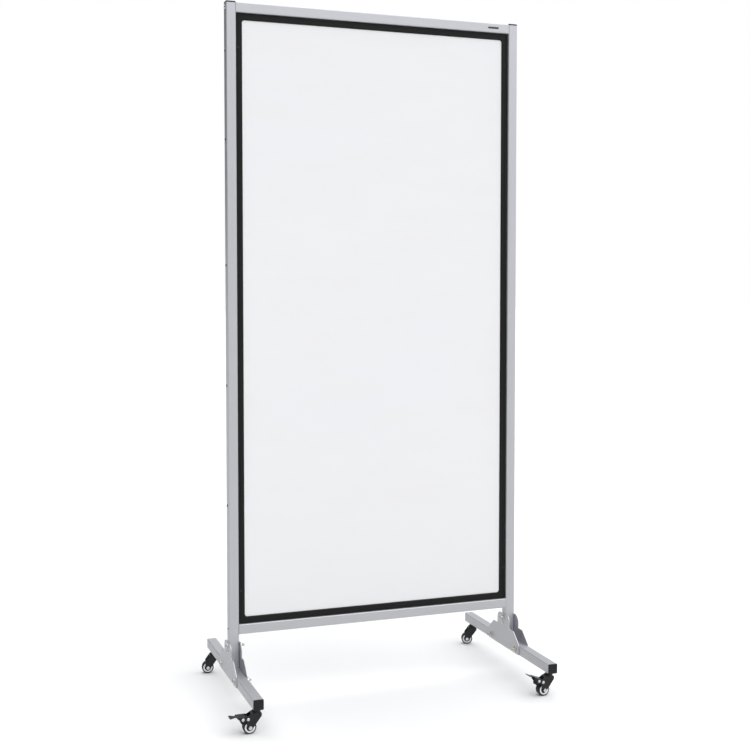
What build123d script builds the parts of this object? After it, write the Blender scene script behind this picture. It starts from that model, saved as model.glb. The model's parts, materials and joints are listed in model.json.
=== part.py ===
from build123d import *

import os
from math import cos, radians, sin

# Rolling two-sided whiteboard: a tall board in a square-tube stand on four swivel casters.
#
# The front faces -Y and the board's mid-plane is Y = 0. Z = 0 is the floor. X = 0 is the middle of the
# whole object's box: a brake pedal reaches out past the left foot, so the stand sits STAND_X to the right.

# ---------------------------------------------------------------- driving dimensions (mm, degrees)
STAND_WIDTH = 952.5  # over the outer faces of the uprights
STAND_HEIGHT = 2095.5  # floor to the top of the upright caps
STAND_X = 27.5
FOOT_LENGTH = 620.0  # over the end caps
FOOT_BOTTOM = 72.0
TUBE = 30.0  # every tube is square
TUBE_WALL = 1.5
TUBE_CORNER = 3.0
UPRIGHT_CAP = 5.0  # thickness above the tube
FOOT_CAP = 3.0
PLUG_DEPTH = 8.0
PLUG_PLAY = 0.1  # cap's plug to the inside of the tube
PLUG_WALL = 2.5
TOP_RAIL_DROP = 2.5  # top of the caps down to the top rail's top face
BOTTOM_RAIL_TOP = 233.0
JOINT_BLOCK = 24.0  # length of the block inside each rail end

M10, M8, M6, M5, M4 = 5.0, 4.0, 3.0, 2.5, 2.0  # shank radii
BOLT_PLAY = 0.25  # shank to the hole it passes through
THREAD_PLAY = 0.05  # shank to its nut

PANEL_GAP = 0.5  # trim to tube
TRIM_WIDTH = 20.0
TRIM_THICK = 14.0
TRIM_SLOT = 7.5  # depth of the groove that holds the board
TRIM_BEVEL = 2.4
TRIM_EDGE = 0.8  # small outer chamfer
TRIM_ARM = 28.0  # length of a corner piece's arms
TRIM_SEAM = 0.3
TRIM_OUTER_R = 5.0
LINE_AT = 7.8  # decorative line along the trim's faces, from its outer edge
LINE_WIDE = 1.2
LINE_DEEP = 0.6
CORE_THICK = 5.0
SKIN_THICK = 0.6
SLOT_PLAY = 0.1
PANEL_SCREW_HEIGHTS = (595.0, 957.0, 1317.0, 1690.0, 1951.0)
PANEL_SCREW_BITE = 10.0  # depth in the trim
TRIM_SCREW_R = 1.25
TRIM_SCREW_INSET = 101.0  # from the ends of the side trims
BADGE_X = 392.0  # plain label plate, from the stand's mid-plane
BADGE_WIDE, BADGE_TALL, BADGE_THICK = 36.0, 6.0, 0.6

BRACKET_THICK = 2.5
BRACKET_BOTTOM = 72.5
BRACKET_BASE = 112.0  # half width beside the foot
BRACKET_BASE_TOP = 106.0
BRACKET_SHOULDER = 73.0  # half width of the ledge
BRACKET_SHOULDER_TOP = 140.0
BRACKET_NECK = 43.0  # half width beside the upright
BRACKET_TOP = 180.0
BRACKET_TOP_R = 20.0
FOOT_BOLT_Y = 89.0
UPPER_BOLT_Z = 167.0
LOCATING_SCREW_Z = 151.0
WASHER_R = 8.5
WASHER_THICK = 1.6
NUT_THICK = 6.5
BOLT_BEYOND = 8.0  # bolt's tip past its nut
NUT_R = 7.5  # across the corners, halved

STEM_INSET = 31.0  # stem to the end of the foot
HEADINGS = {  # turn of each caster about its stem; at 0 the wheel trails towards -X
    "front_left": 0.0,
    "front_right": 3.0,
    "rear_left": -8.0,
    "rear_right": -20.0,
}
BRAKES = {"front_left": 0.0, "front_right": 20.0}  # lever angle at rest: 0 is on, LEVER_TRAVEL is off
WHEEL_R = 19.0
WHEEL_WIDE = 20.5
TYRE_INSIDE_R = 15.0
TRAIL = 20.0
FORK_INSIDE = 11.5  # half width between the fork's legs
FORK_WALL = 2.0
CROWN_TOP = 60.0
CROWN_THICK = 3.0
CROWN_FRONT = 13.5
CROWN_REAR = 15.0
CROWN_EDGE_R = 1.2  # rounding along the fork's outline
AXLE_END_R = 8.0
LEG_BACK = (-21.5, 38.0)  # middle of the rounding where a leg's rear edge turns in to the crown
RACE_LOW = 61.2
RACE_R = 13.5
COLLAR_LOW = 66.0
COLLAR_R = 9.8
BALL_R = 1.75
BALL_CIRCLE = 9.5
BALL_COUNT = 10
BEARING_PLAY = 0.06
PIVOT = (-26.0, 44.3)  # lever pivot: along the trail, up
TOGGLE_BACK = 15.0  # cross pin of the lever, behind the pivot
LEVER_WALL = 1.5
LEVER_GAP = 0.5  # lever cheek to fork leg
LEVER_TOP = 7.5  # lever's top face above the pivot
LEVER_PLATE = 2.0
PEDAL_REACH = 52.0  # pivot to the pedal's tip
RIVET_HEAD_R = 4.5
SHOE_GAP = 0.4  # brake shoe to tyre with the brake on

# ---------------------------------------------------------------- derived dimensions
FOOT_TOP = FOOT_BOTTOM + TUBE
FOOT_MID = FOOT_BOTTOM + TUBE / 2
UPRIGHT_OFFSET = STAND_WIDTH / 2 - TUBE / 2
LEFT_X = STAND_X - UPRIGHT_OFFSET
RIGHT_X = STAND_X + UPRIGHT_OFFSET
UPRIGHT_TOP = STAND_HEIGHT - UPRIGHT_CAP
RAIL_HALF = UPRIGHT_OFFSET - TUBE / 2
TOP_RAIL_MID = STAND_HEIGHT - TOP_RAIL_DROP - TUBE / 2
BOTTOM_RAIL_MID = BOTTOM_RAIL_TOP - TUBE / 2
TUBE_INSIDE = TUBE - 2 * TUBE_WALL
PLUG = TUBE_INSIDE - 2 * PLUG_PLAY

TRIM_HALF_SPAN = RAIL_HALF - PANEL_GAP
TRIM_LOW = BOTTOM_RAIL_TOP + PANEL_GAP
TRIM_HIGH = TOP_RAIL_MID - TUBE / 2 - PANEL_GAP
TRIM_TALL = TRIM_HIGH - TRIM_LOW
SLOT_AT = TRIM_WIDTH - TRIM_SLOT
SLOT_HALF = CORE_THICK / 2 + SKIN_THICK + SLOT_PLAY
PANEL_WIDE = 2 * (TRIM_HALF_SPAN - SLOT_AT - SLOT_PLAY)
PANEL_TALL = TRIM_TALL - 2 * (SLOT_AT + SLOT_PLAY)
PANEL_MID = (TRIM_LOW + TRIM_HIGH) / 2
TRIM_SCREW_HEIGHTS = (TRIM_LOW + TRIM_SCREW_INSET, TRIM_HIGH - TRIM_SCREW_INSET)

PLATE_OUT = TUBE / 2 + BRACKET_THICK
STEM_Y = FOOT_LENGTH / 2 - STEM_INSET
AXLE = (-TRAIL, WHEEL_R)
LEG_OUT = FORK_INSIDE + FORK_WALL
CHEEK_IN = LEG_OUT + LEVER_GAP
CHEEK_OUT = CHEEK_IN + LEVER_WALL


def save(piece, node):
    """Label a finished piece with its node's name and write its STEP file."""
    piece.part.label = node
    export_step(piece.part, f"parts/{node}.step")


def group(pieces):
    """Gather separate solids in one node."""
    with BuildPart() as together:
        add(pieces)
    return together


def facing_x(x, y, z, side=1):
    """A plane whose +x is along Y and whose normal is X times `side`."""
    return Plane(origin=(x, y, z), x_dir=(0, side, 0), z_dir=(side, 0, 0))


def facing_y(x, y, z, side=1):
    """A plane whose normal is Y times `side`, with +y up."""
    return Plane(origin=(x, y, z), x_dir=(-side, 0, 0), z_dir=(0, side, 0))


os.makedirs("parts", exist_ok=True)


# ---------------------------------------------------------------- tubes
def square_tube(start, length, holes):
    """A square tube from the plane `start`; each hole is (plane, radius, depth)."""
    with BuildPart() as tube:
        with BuildSketch(start):
            RectangleRounded(TUBE, TUBE, TUBE_CORNER)
            RectangleRounded(TUBE_INSIDE, TUBE_INSIDE, TUBE_CORNER - TUBE_WALL, mode=Mode.SUBTRACT)
        extrude(amount=length)
        for plane, radius, depth in holes:
            with BuildSketch(plane):
                Circle(radius)
            extrude(amount=depth, mode=Mode.SUBTRACT)
    return tube


def upright(x):
    """An upright on the middle of its foot, drilled across for its bolts and screws."""
    drillings = [(UPPER_BOLT_Z, M8), (LOCATING_SCREW_Z, M5), (TOP_RAIL_MID, M6), (BOTTOM_RAIL_MID, M6)]
    drillings += [(z, M4) for z in PANEL_SCREW_HEIGHTS]
    holes = [(facing_x(x - TUBE / 2, 0, z), shank + BOLT_PLAY, TUBE) for z, shank in drillings]
    return square_tube(Plane((x, 0, FOOT_TOP)), UPRIGHT_TOP - FOOT_TOP, holes)


def foot(x):
    """A foot along Y, drilled across for the bracket bolts and from below for the stems."""
    holes = []
    for side in (-1, 1):
        bolt_hole = facing_x(x - TUBE / 2, side * FOOT_BOLT_Y, FOOT_MID)
        holes.append((bolt_hole, M8 + BOLT_PLAY, TUBE))
        holes.append((Plane((x, side * STEM_Y, FOOT_BOTTOM)), M10 + BOLT_PLAY, 2 * TUBE_WALL))
    half = FOOT_LENGTH / 2 - FOOT_CAP
    return square_tube(facing_y(x, -half, FOOT_MID), 2 * half, holes)


def rail(z):
    """A rail between the uprights' inner faces."""
    return square_tube(facing_x(STAND_X - RAIL_HALF, 0, z), 2 * RAIL_HALF, [])


save(upright(LEFT_X), "left_upright")
save(upright(RIGHT_X), "right_upright")
save(foot(LEFT_X), "left_foot")
save(foot(RIGHT_X), "right_foot")
save(rail(TOP_RAIL_MID), "top_rail")
save(rail(BOTTOM_RAIL_MID), "bottom_rail")


# ---------------------------------------------------------------- end caps and rail joints
def end_caps(seats, thick):
    """Plug-in caps, one on each seat: a plane on the tube's end that faces out of it."""
    with BuildPart() as caps:
        for seat in seats:
            with BuildSketch(seat):
                RectangleRounded(TUBE, TUBE, TUBE_CORNER)
            extrude(amount=thick * 0.6)
            with BuildSketch(seat.offset(thick * 0.6)):
                RectangleRounded(TUBE, TUBE, TUBE_CORNER)
            extrude(amount=thick * 0.4, taper=45)
            with BuildSketch(seat):
                RectangleRounded(PLUG, PLUG, TUBE_CORNER - TUBE_WALL)
                Rectangle(PLUG - 2 * PLUG_WALL, PLUG - 2 * PLUG_WALL, mode=Mode.SUBTRACT)
            extrude(amount=-PLUG_DEPTH)
    return caps


upright_ends = [Plane((x, 0, UPRIGHT_TOP)) for x in (LEFT_X, RIGHT_X)]
foot_ends = [
    facing_y(x, side * (FOOT_LENGTH / 2 - FOOT_CAP), FOOT_MID, side)
    for x in (LEFT_X, RIGHT_X)
    for side in (-1, 1)
]
save(end_caps(upright_ends, UPRIGHT_CAP), "upright_caps")
save(end_caps(foot_ends, FOOT_CAP), "foot_end_caps")

rail_ends = [
    facing_x(STAND_X + side * RAIL_HALF, 0, z, side)
    for side in (-1, 1)
    for z in (TOP_RAIL_MID, BOTTOM_RAIL_MID)
]

with BuildPart() as rail_joint_blocks:
    for end in rail_ends:
        with BuildSketch(end):
            RectangleRounded(PLUG, PLUG, TUBE_CORNER - TUBE_WALL)
            Circle(M6, mode=Mode.SUBTRACT)
        extrude(amount=-JOINT_BLOCK)
save(rail_joint_blocks, "rail_joint_blocks")


def button_screw(axis, tail, seat, shank, head, rise):
    """A button-head hex-socket screw along a plane's normal.

    The shank runs from `tail` to `seat`, and the domed head of radius `head` stands `rise` above that.
    """
    with BuildPart() as screw:
        with BuildSketch(Plane(origin=axis.origin, x_dir=axis.z_dir, z_dir=-axis.y_dir)):
            with BuildLine():
                Polyline(
                    (seat + rise, head * 0.3),
                    (seat + rise, 0),
                    (tail, 0),
                    (tail, shank * 0.8),
                    (tail + shank * 0.2, shank),
                    (seat, shank),
                    (seat, head),
                )
                ThreePointArc(
                    (seat, head),
                    (seat + rise * 0.72, head * 0.72),
                    (seat + rise, head * 0.3),
                )
            make_face()
        revolve(axis=Axis(axis.origin, axis.z_dir))
        with BuildSketch(axis.offset(seat + rise)):
            RegularPolygon(radius=head * 0.28, side_count=6)
        extrude(amount=-rise * 0.6, mode=Mode.SUBTRACT)
    return screw.part


rail_screws = [button_screw(end, 2 - JOINT_BLOCK, TUBE, M6, 5.5, 2.6) for end in rail_ends]
save(group(rail_screws), "rail_joint_screws")

# ---------------------------------------------------------------- the board
with BuildPart() as board_core:
    with BuildSketch(facing_y(STAND_X, 0, PANEL_MID)):
        Rectangle(PANEL_WIDE, PANEL_TALL)
    extrude(amount=CORE_THICK / 2, both=True)
save(board_core, "board_core")

for side, node in ((-1, "front_writing_surface"), (1, "rear_writing_surface")):
    with BuildPart() as writing_surface:
        with BuildSketch(facing_y(STAND_X, side * CORE_THICK / 2, PANEL_MID, side)):
            Rectangle(PANEL_WIDE, PANEL_TALL)
        extrude(amount=SKIN_THICK)
    save(writing_surface, node)


# ---------------------------------------------------------------- trim around the board
def trim_strip(start, length, holes):
    """A straight strip. In its plane +x runs inwards from the outer edge and y is across.

    Each hole is (plane, radius, depth) and is cut to that depth both ways.
    """
    half = TRIM_THICK / 2
    with BuildPart() as strip:
        with BuildSketch(start):
            with BuildLine():
                Polyline(
                    (TRIM_EDGE, -half),
                    (TRIM_WIDTH - TRIM_BEVEL, -half),
                    (TRIM_WIDTH, TRIM_BEVEL - half),
                    (TRIM_WIDTH, half - TRIM_BEVEL),
                    (TRIM_WIDTH - TRIM_BEVEL, half),
                    (TRIM_EDGE, half),
                    (0, half - TRIM_EDGE),
                    (0, TRIM_EDGE - half),
                    close=True,
                )
            make_face()
            with Locations((SLOT_AT, 0)):
                Rectangle(TRIM_SLOT, 2 * SLOT_HALF, align=(Align.MIN, Align.CENTER), mode=Mode.SUBTRACT)
            with Locations((LINE_AT, -half), (LINE_AT, half)):
                Rectangle(LINE_WIDE, 2 * LINE_DEEP, mode=Mode.SUBTRACT)
        extrude(amount=length)
        for plane, radius, depth in holes:
            with BuildSketch(plane):
                Circle(radius)
            extrude(amount=depth, both=True, mode=Mode.SUBTRACT)
    return strip


STRIP_START = TRIM_ARM + TRIM_SEAM

for side, node in ((-1, "left_trim"), (1, "right_trim")):
    edge_x = STAND_X + side * TRIM_HALF_SPAN
    start = Plane(origin=(edge_x, 0, TRIM_LOW + STRIP_START), x_dir=(-side, 0, 0), z_dir=(0, 0, 1))
    holes = [(facing_x(edge_x, 0, z), M4, PANEL_SCREW_BITE) for z in PANEL_SCREW_HEIGHTS]
    holes += [
        (facing_y(edge_x - side * LINE_AT, 0, z), TRIM_SCREW_R, TRIM_THICK / 2)
        for z in TRIM_SCREW_HEIGHTS
    ]
    save(trim_strip(start, TRIM_TALL - 2 * STRIP_START, holes), node)

for z, inward, node in ((TRIM_LOW, 1, "bottom_trim"), (TRIM_HIGH, -1, "top_trim")):
    left_end = STAND_X - TRIM_HALF_SPAN + STRIP_START
    start = Plane(origin=(left_end, 0, z), x_dir=(0, 0, inward), z_dir=(1, 0, 0))
    save(trim_strip(start, 2 * (TRIM_HALF_SPAN - STRIP_START), []), node)


def trim_corner(x, z, side, inward):
    """One corner piece: an L with a rounded outer corner and a hollow-rounded inner one."""
    seat = Plane(origin=(x, 0, z), x_dir=(-side, 0, 0), z_dir=(0, side * inward, 0))
    with BuildPart() as corner:
        with BuildSketch(seat):
            with BuildLine():
                Polyline(
                    (TRIM_OUTER_R, 0),
                    (TRIM_ARM, 0),
                    (TRIM_ARM, TRIM_WIDTH),
                )
                RadiusArc((TRIM_ARM, TRIM_WIDTH), (TRIM_WIDTH, TRIM_ARM), TRIM_ARM - TRIM_WIDTH)
                Polyline(
                    (TRIM_WIDTH, TRIM_ARM),
                    (0, TRIM_ARM),
                    (0, TRIM_OUTER_R),
                )
                RadiusArc((0, TRIM_OUTER_R), (TRIM_OUTER_R, 0), -TRIM_OUTER_R)
            make_face()
        extrude(amount=TRIM_THICK / 2, both=True)
        face_edges = corner.edges().filter_by(GeomType.CIRCLE)
        chamfer(face_edges.filter_by(lambda e: e.radius > TRIM_OUTER_R), length=TRIM_BEVEL)
        with BuildSketch(seat):
            with Locations((SLOT_AT, SLOT_AT)):
                Rectangle(TRIM_ARM, TRIM_ARM, align=Align.MIN)
        extrude(amount=SLOT_HALF, both=True, mode=Mode.SUBTRACT)
        line = LINE_AT - LINE_WIDE / 2
        for face in (-1, 1):
            with BuildSketch(seat.offset(face * TRIM_THICK / 2)):
                with Locations((line, line)):
                    Rectangle(TRIM_ARM, LINE_WIDE, align=Align.MIN)
                    Rectangle(LINE_WIDE, TRIM_ARM, align=Align.MIN)
            extrude(amount=LINE_DEEP, both=True, mode=Mode.SUBTRACT)
    return corner.part


corner_pieces = [
    trim_corner(STAND_X + side * TRIM_HALF_SPAN, z, side, inward)
    for side in (-1, 1)
    for z, inward in ((TRIM_LOW, 1), (TRIM_HIGH, -1))
]
save(group(corner_pieces), "trim_corners")

PANEL_SCREW_TIP = PANEL_GAP + PANEL_SCREW_BITE - 0.5
panel_screw_pieces = [
    button_screw(facing_x(x - side * TUBE / 2, 0, z, side), -PANEL_SCREW_TIP, TUBE, M4, 4.0, 2.2)
    for x, side in ((LEFT_X, -1), (RIGHT_X, 1))
    for z in PANEL_SCREW_HEIGHTS
]
save(group(panel_screw_pieces), "panel_screws")

trim_screw_pieces = [
    button_screw(
        facing_y(STAND_X + side * (TRIM_HALF_SPAN - LINE_AT), 0, z, face),
        1,
        TRIM_THICK / 2,
        TRIM_SCREW_R,
        2.6,
        1.0,
    )
    for side in (-1, 1)
    for z in TRIM_SCREW_HEIGHTS
    for face in (-1, 1)
]
save(group(trim_screw_pieces), "trim_screws")

with BuildPart() as blank_badge:
    with BuildSketch(facing_y(STAND_X + BADGE_X, -TUBE / 2, TOP_RAIL_MID, -1)):
        RectangleRounded(BADGE_WIDE, BADGE_TALL, 1)
    extrude(amount=BADGE_THICK)
save(blank_badge, "blank_badge")


# ---------------------------------------------------------------- foot brackets and their fasteners
def bracket_plate(x):
    """One stepped plate from x towards +X, joining an upright to its foot."""
    with BuildPart() as plate:
        with BuildSketch(facing_x(x, 0, 0)) as outline:
            with BuildLine() as half:
                Polyline(
                    (0, BRACKET_BOTTOM),
                    (BRACKET_BASE, BRACKET_BOTTOM),
                    (BRACKET_BASE, BRACKET_BASE_TOP),
                    (BRACKET_SHOULDER, BRACKET_SHOULDER_TOP),
                    (BRACKET_NECK, BRACKET_SHOULDER_TOP),
                    (BRACKET_NECK, BRACKET_TOP),
                    (0, BRACKET_TOP),
                )
                mirror(about=Plane.YZ)
            make_face()
            by_height = outline.vertices().group_by(Axis.Y)
            fillet(by_height[-1], BRACKET_TOP_R)
            fillet(outline.vertices().group_by(Axis.Y)[2], 3)
            fillet(outline.vertices().group_by(Axis.Y)[1], 5)
            with Locations((0, UPPER_BOLT_Z), (-FOOT_BOLT_Y, FOOT_MID), (FOOT_BOLT_Y, FOOT_MID)):
                Circle(M8 + BOLT_PLAY, mode=Mode.SUBTRACT)
            with Locations((0, LOCATING_SCREW_Z)):
                Circle(M5 + BOLT_PLAY, mode=Mode.SUBTRACT)
        extrude(amount=BRACKET_THICK)
    return plate


save(bracket_plate(LEFT_X - PLATE_OUT), "left_outer_bracket")
save(bracket_plate(LEFT_X + TUBE / 2), "left_inner_bracket")
save(bracket_plate(RIGHT_X - PLATE_OUT), "right_inner_bracket")
save(bracket_plate(RIGHT_X + TUBE / 2), "right_outer_bracket")

M8_SEATS = ((0, UPPER_BOLT_Z), (-FOOT_BOLT_Y, FOOT_MID), (FOOT_BOLT_Y, FOOT_MID))
bolt_axes = [facing_x(x, y, z, side) for x, side in ((LEFT_X, -1), (RIGHT_X, 1)) for y, z in M8_SEATS]
locating_axes = [facing_x(x, 0, LOCATING_SCREW_Z, side) for x, side in ((LEFT_X, -1), (RIGHT_X, 1))]


def washer(plane, outer, inner, thick):
    """A flat ring from a plane, along its normal."""
    with BuildPart() as ring:
        with BuildSketch(plane):
            Circle(outer)
            Circle(inner, mode=Mode.SUBTRACT)
        extrude(amount=thick)
    return ring.part


def hex_nut(plane, corner_r, shank, thick):
    """A hexagon nut from a plane, along its normal."""
    with BuildPart() as nut:
        with BuildSketch(plane):
            RegularPolygon(radius=corner_r, side_count=6)
            Circle(shank + THREAD_PLAY, mode=Mode.SUBTRACT)
        extrude(amount=thick)
    return nut.part


WASHER_OUT = PLATE_OUT + WASHER_THICK
BOLT_TIP = -WASHER_OUT - NUT_THICK - BOLT_BEYOND
bolts = [button_screw(axis, BOLT_TIP, WASHER_OUT, M8, 7.2, 4.4) for axis in bolt_axes]
save(group(bolts), "bracket_bolts")
washers = [
    washer(axis.offset(start), WASHER_R, M8 + BOLT_PLAY, WASHER_THICK)
    for axis in bolt_axes
    for start in (PLATE_OUT, -WASHER_OUT)
]
save(group(washers), "bracket_washers")
nuts = [hex_nut(axis.offset(-WASHER_OUT), NUT_R, M8, -NUT_THICK) for axis in bolt_axes]
save(group(nuts), "bracket_nuts")
locating = [button_screw(axis, -PLATE_OUT - 6, PLATE_OUT, M5, 4.6, 3.0) for axis in locating_axes]
locating += [hex_nut(axis.offset(-PLATE_OUT), 4.6, M5, -4) for axis in locating_axes]
save(group(locating), "locating_screws")

# ---------------------------------------------------------------- caster stems, fixed in the feet
stems = {
    f"{row}_{hand}": Plane((x, y, 0)).rotated((0, 0, HEADINGS[f"{row}_{hand}"]))
    for row, y in (("front", -STEM_Y), ("rear", STEM_Y))
    for hand, x in (("left", LEFT_X), ("right", RIGHT_X))
}
STUD_TOP = FOOT_BOTTOM + TUBE_WALL + 18
BALL_MID = (CROWN_TOP + RACE_LOW) / 2
KINGPIN_LOW = CROWN_TOP - CROWN_THICK - 3.5
KINGPIN_HEAD = CROWN_TOP - CROWN_THICK - 0.3


def side_plane(frame, out):
    """A profile plane `out` from a caster's middle, on its -y side: +x is away from the trail, +y up."""
    return Plane(origin=frame.origin - frame.y_dir * out, x_dir=frame.x_dir, z_dir=-frame.y_dir)


def caster_stem(frame):
    """A threaded stud with its hexagon collar, bearing race and headed kingpin."""
    with BuildPart() as stem:
        with BuildSketch(side_plane(frame, 0)):
            with BuildLine():
                Polyline(
                    (0, STUD_TOP),
                    (M10 - 1, STUD_TOP),
                    (M10, STUD_TOP - 1),
                    (M10, COLLAR_LOW),
                    (COLLAR_R - 1.3, COLLAR_LOW),
                    (RACE_R, COLLAR_LOW - 2.2),
                    (RACE_R, RACE_LOW),
                    (M8, RACE_LOW),
                    (M8, KINGPIN_HEAD),
                    (6.5, KINGPIN_HEAD),
                    (6.5, KINGPIN_LOW + 1.5),
                    (4.5, KINGPIN_LOW),
                    (0, KINGPIN_LOW),
                    close=True,
                )
            make_face()
            with Locations((BALL_CIRCLE, BALL_MID)):
                Circle(BALL_R + BEARING_PLAY, mode=Mode.SUBTRACT)
        revolve(axis=Axis(frame.origin, (0, 0, 1)))
        with BuildSketch(frame.offset(COLLAR_LOW)):
            RegularPolygon(radius=COLLAR_R, side_count=6)
        extrude(amount=FOOT_BOTTOM - COLLAR_LOW)
    return stem.part


save(group([caster_stem(frame) for frame in stems.values()]), "caster_stems")
stem_nuts = [hex_nut(frame.offset(FOOT_BOTTOM + TUBE_WALL), 9.2, M10, 8) for frame in stems.values()]
save(group(stem_nuts), "caster_stem_nuts")

with BuildPart() as swivel_balls:
    for frame in stems.values():
        with Locations(frame.offset(BALL_MID)):
            with PolarLocations(BALL_CIRCLE, BALL_COUNT):
                Sphere(BALL_R)
save(swivel_balls, "swivel_balls")


# ---------------------------------------------------------------- caster forks, wheels and axles
def axle_line(frame):
    """The wheel's axis, pointing to the caster's -y side."""
    origin = frame.origin + frame.x_dir * AXLE[0] + frame.z_dir * AXLE[1]
    return Plane(origin=origin, x_dir=frame.x_dir, z_dir=-frame.y_dir)


def fork(frame, braked):
    """An inverted U: a crown that turns on the stem and two legs down to the axle."""
    with BuildPart() as body:
        with BuildSketch(side_plane(frame, 0)):
            with Locations(AXLE):
                Circle(AXLE_END_R)
            with Locations((CROWN_FRONT - 4, CROWN_TOP - 4), (CROWN_FRONT - 4, CROWN_TOP - 9)):
                Circle(4)
            with Locations((4 - CROWN_REAR, CROWN_TOP - 4)):
                Circle(4)
            with Locations(PIVOT if braked else LEG_BACK):
                Circle(6)
            make_hull()
        extrude(amount=LEG_OUT, both=True)
        sides = body.faces().filter_by(GeomType.PLANE).sort_by(SortBy.AREA)[-2:]
        fillet(sides.edges(), CROWN_EDGE_R)
        with BuildSketch(side_plane(frame, 0)):
            with Locations((CROWN_FRONT - FORK_WALL, CROWN_TOP - CROWN_THICK)):
                Rectangle(4 * TRAIL, CROWN_TOP, align=Align.MAX)
        extrude(amount=FORK_INSIDE, both=True, mode=Mode.SUBTRACT)
        with BuildSketch(frame.offset(CROWN_TOP)):
            Circle(M8 + BEARING_PLAY)
        extrude(amount=-2 * CROWN_THICK, mode=Mode.SUBTRACT)
        with BuildSketch(side_plane(frame, 0)):
            with Locations((BALL_CIRCLE, BALL_MID)):
                Circle(BALL_R + BEARING_PLAY)
        revolve(axis=Axis(frame.origin, (0, 0, 1)), mode=Mode.SUBTRACT)
        with BuildSketch(axle_line(frame)):
            Circle(M6)
        extrude(amount=2 * LEG_OUT, both=True, mode=Mode.SUBTRACT)
        if braked:
            with BuildSketch(side_plane(frame, 0)):
                with Locations(PIVOT):
                    Circle(M5)
            extrude(amount=2 * LEG_OUT, both=True, mode=Mode.SUBTRACT)
    return body


def turned(frame, points):
    """A solid turned about the wheel's axis; the profile's points are (out from centre, radius)."""
    axis = axle_line(frame)
    with BuildPart() as solid:
        with BuildSketch(Plane(origin=axis.origin, x_dir=axis.z_dir, z_dir=-axis.x_dir)):
            with BuildLine():
                Polyline(*points, close=True)
            make_face()
        revolve(axis=Axis(axis.origin, axis.z_dir))
    return solid


def axle_bolt(line):
    """A hexagon-headed bolt through the fork's legs and the wheel."""
    with BuildPart() as bolt:
        with BuildSketch(line.offset(-LEG_OUT - 6)):
            Circle(M6)
        extrude(amount=2 * LEG_OUT + 6)
        with BuildSketch(line.offset(LEG_OUT)):
            RegularPolygon(radius=5.8, side_count=6)
        extrude(amount=4)
    return bolt.part


HALF_WHEEL = WHEEL_WIDE / 2
RING_THICK = 1.3
RIM_HALF = HALF_WHEEL - 1
RING_INSIDE_R = 10.2
BOSS_HALF = FORK_INSIDE - 0.3

tyre_profile = [
    (-HALF_WHEEL, TYRE_INSIDE_R),
    (-HALF_WHEEL, WHEEL_R - 2.2),
    (-HALF_WHEEL + 0.8, WHEEL_R - 0.7),
    (-HALF_WHEEL + 2.6, WHEEL_R),
    (HALF_WHEEL - 2.6, WHEEL_R),
    (HALF_WHEEL - 0.8, WHEEL_R - 0.7),
    (HALF_WHEEL, WHEEL_R - 2.2),
    (HALF_WHEEL, TYRE_INSIDE_R),
]
hub_profile = [
    (-BOSS_HALF, M6 + BEARING_PLAY),
    (-BOSS_HALF, 5.2),
    (-RIM_HALF + 2, 6),
    (-RIM_HALF + 2, 8.6),
    (-RIM_HALF, RING_INSIDE_R),
    (-RIM_HALF, TYRE_INSIDE_R),
    (RIM_HALF, TYRE_INSIDE_R),
    (RIM_HALF, RING_INSIDE_R),
    (RIM_HALF - 2, 8.6),
    (RIM_HALF - 2, 6),
    (BOSS_HALF, 5.2),
    (BOSS_HALF, M6 + BEARING_PLAY),
]

for corner, frame in stems.items():
    line = axle_line(frame)
    save(fork(frame, corner in BRAKES), f"{corner}_fork")
    save(turned(frame, tyre_profile), f"{corner}_tyre")
    save(turned(frame, hub_profile), f"{corner}_hub")
    rings = [
        washer(line.offset(side * RIM_HALF), TYRE_INSIDE_R, RING_INSIDE_R, side * RING_THICK)
        for side in (-1, 1)
    ]
    save(group(rings), f"{corner}_hub_rings")
    axle_nut = hex_nut(line.offset(-LEG_OUT), 5.8, M6, -5)
    save(group([axle_bolt(line), axle_nut]), f"{corner}_axle")


# ---------------------------------------------------------------- brakes on the front casters
def lever_frame(frame, raised):
    """The lever's own frame at its pivot, tipped up by `raised` degrees: -x is towards the pedal."""
    origin = frame.origin + frame.x_dir * PIVOT[0] + frame.z_dir * PIVOT[1]
    c, s = cos(radians(raised)), sin(radians(raised))
    x_dir = frame.x_dir * c - frame.z_dir * s
    z_dir = frame.x_dir * s + frame.z_dir * c
    return Plane(origin=origin, x_dir=x_dir, z_dir=z_dir)


def brake_lever(lever):
    """A channel over the fork's legs with a fish-tail pedal."""
    with BuildPart() as body:
        with BuildSketch(lever.offset(LEVER_TOP - LEVER_PLATE)):
            with BuildLine():
                Polyline(
                    (-7, -CHEEK_OUT),
                    (-28, -CHEEK_OUT),
                    (-32, -8.5),
                    (-36, -6),
                    (3 - PEDAL_REACH, -13.5),
                    (-PEDAL_REACH, -12.5),
                    (-PEDAL_REACH, 12.5),
                    (3 - PEDAL_REACH, 13.5),
                    (-36, 6),
                    (-32, 8.5),
                    (-28, CHEEK_OUT),
                    (-7, CHEEK_OUT),
                    close=True,
                )
            make_face()
        extrude(amount=LEVER_PLATE)
        for side in (-1, 1):
            with BuildSketch(side_plane(lever, side * (CHEEK_IN + LEVER_WALL / 2))):
                Circle(6)
                with Locations((-TOGGLE_BACK, 0)):
                    Circle(7)
                with Locations((-30.5, LEVER_TOP - 1.5), (-3, LEVER_TOP - 1.5)):
                    Circle(1.5)
                make_hull()
                Circle(M5 + BEARING_PLAY, mode=Mode.SUBTRACT)
                with Locations((-TOGGLE_BACK, 0)):
                    Circle(M5, mode=Mode.SUBTRACT)
            extrude(amount=LEVER_WALL / 2, both=True)
    return body


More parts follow.
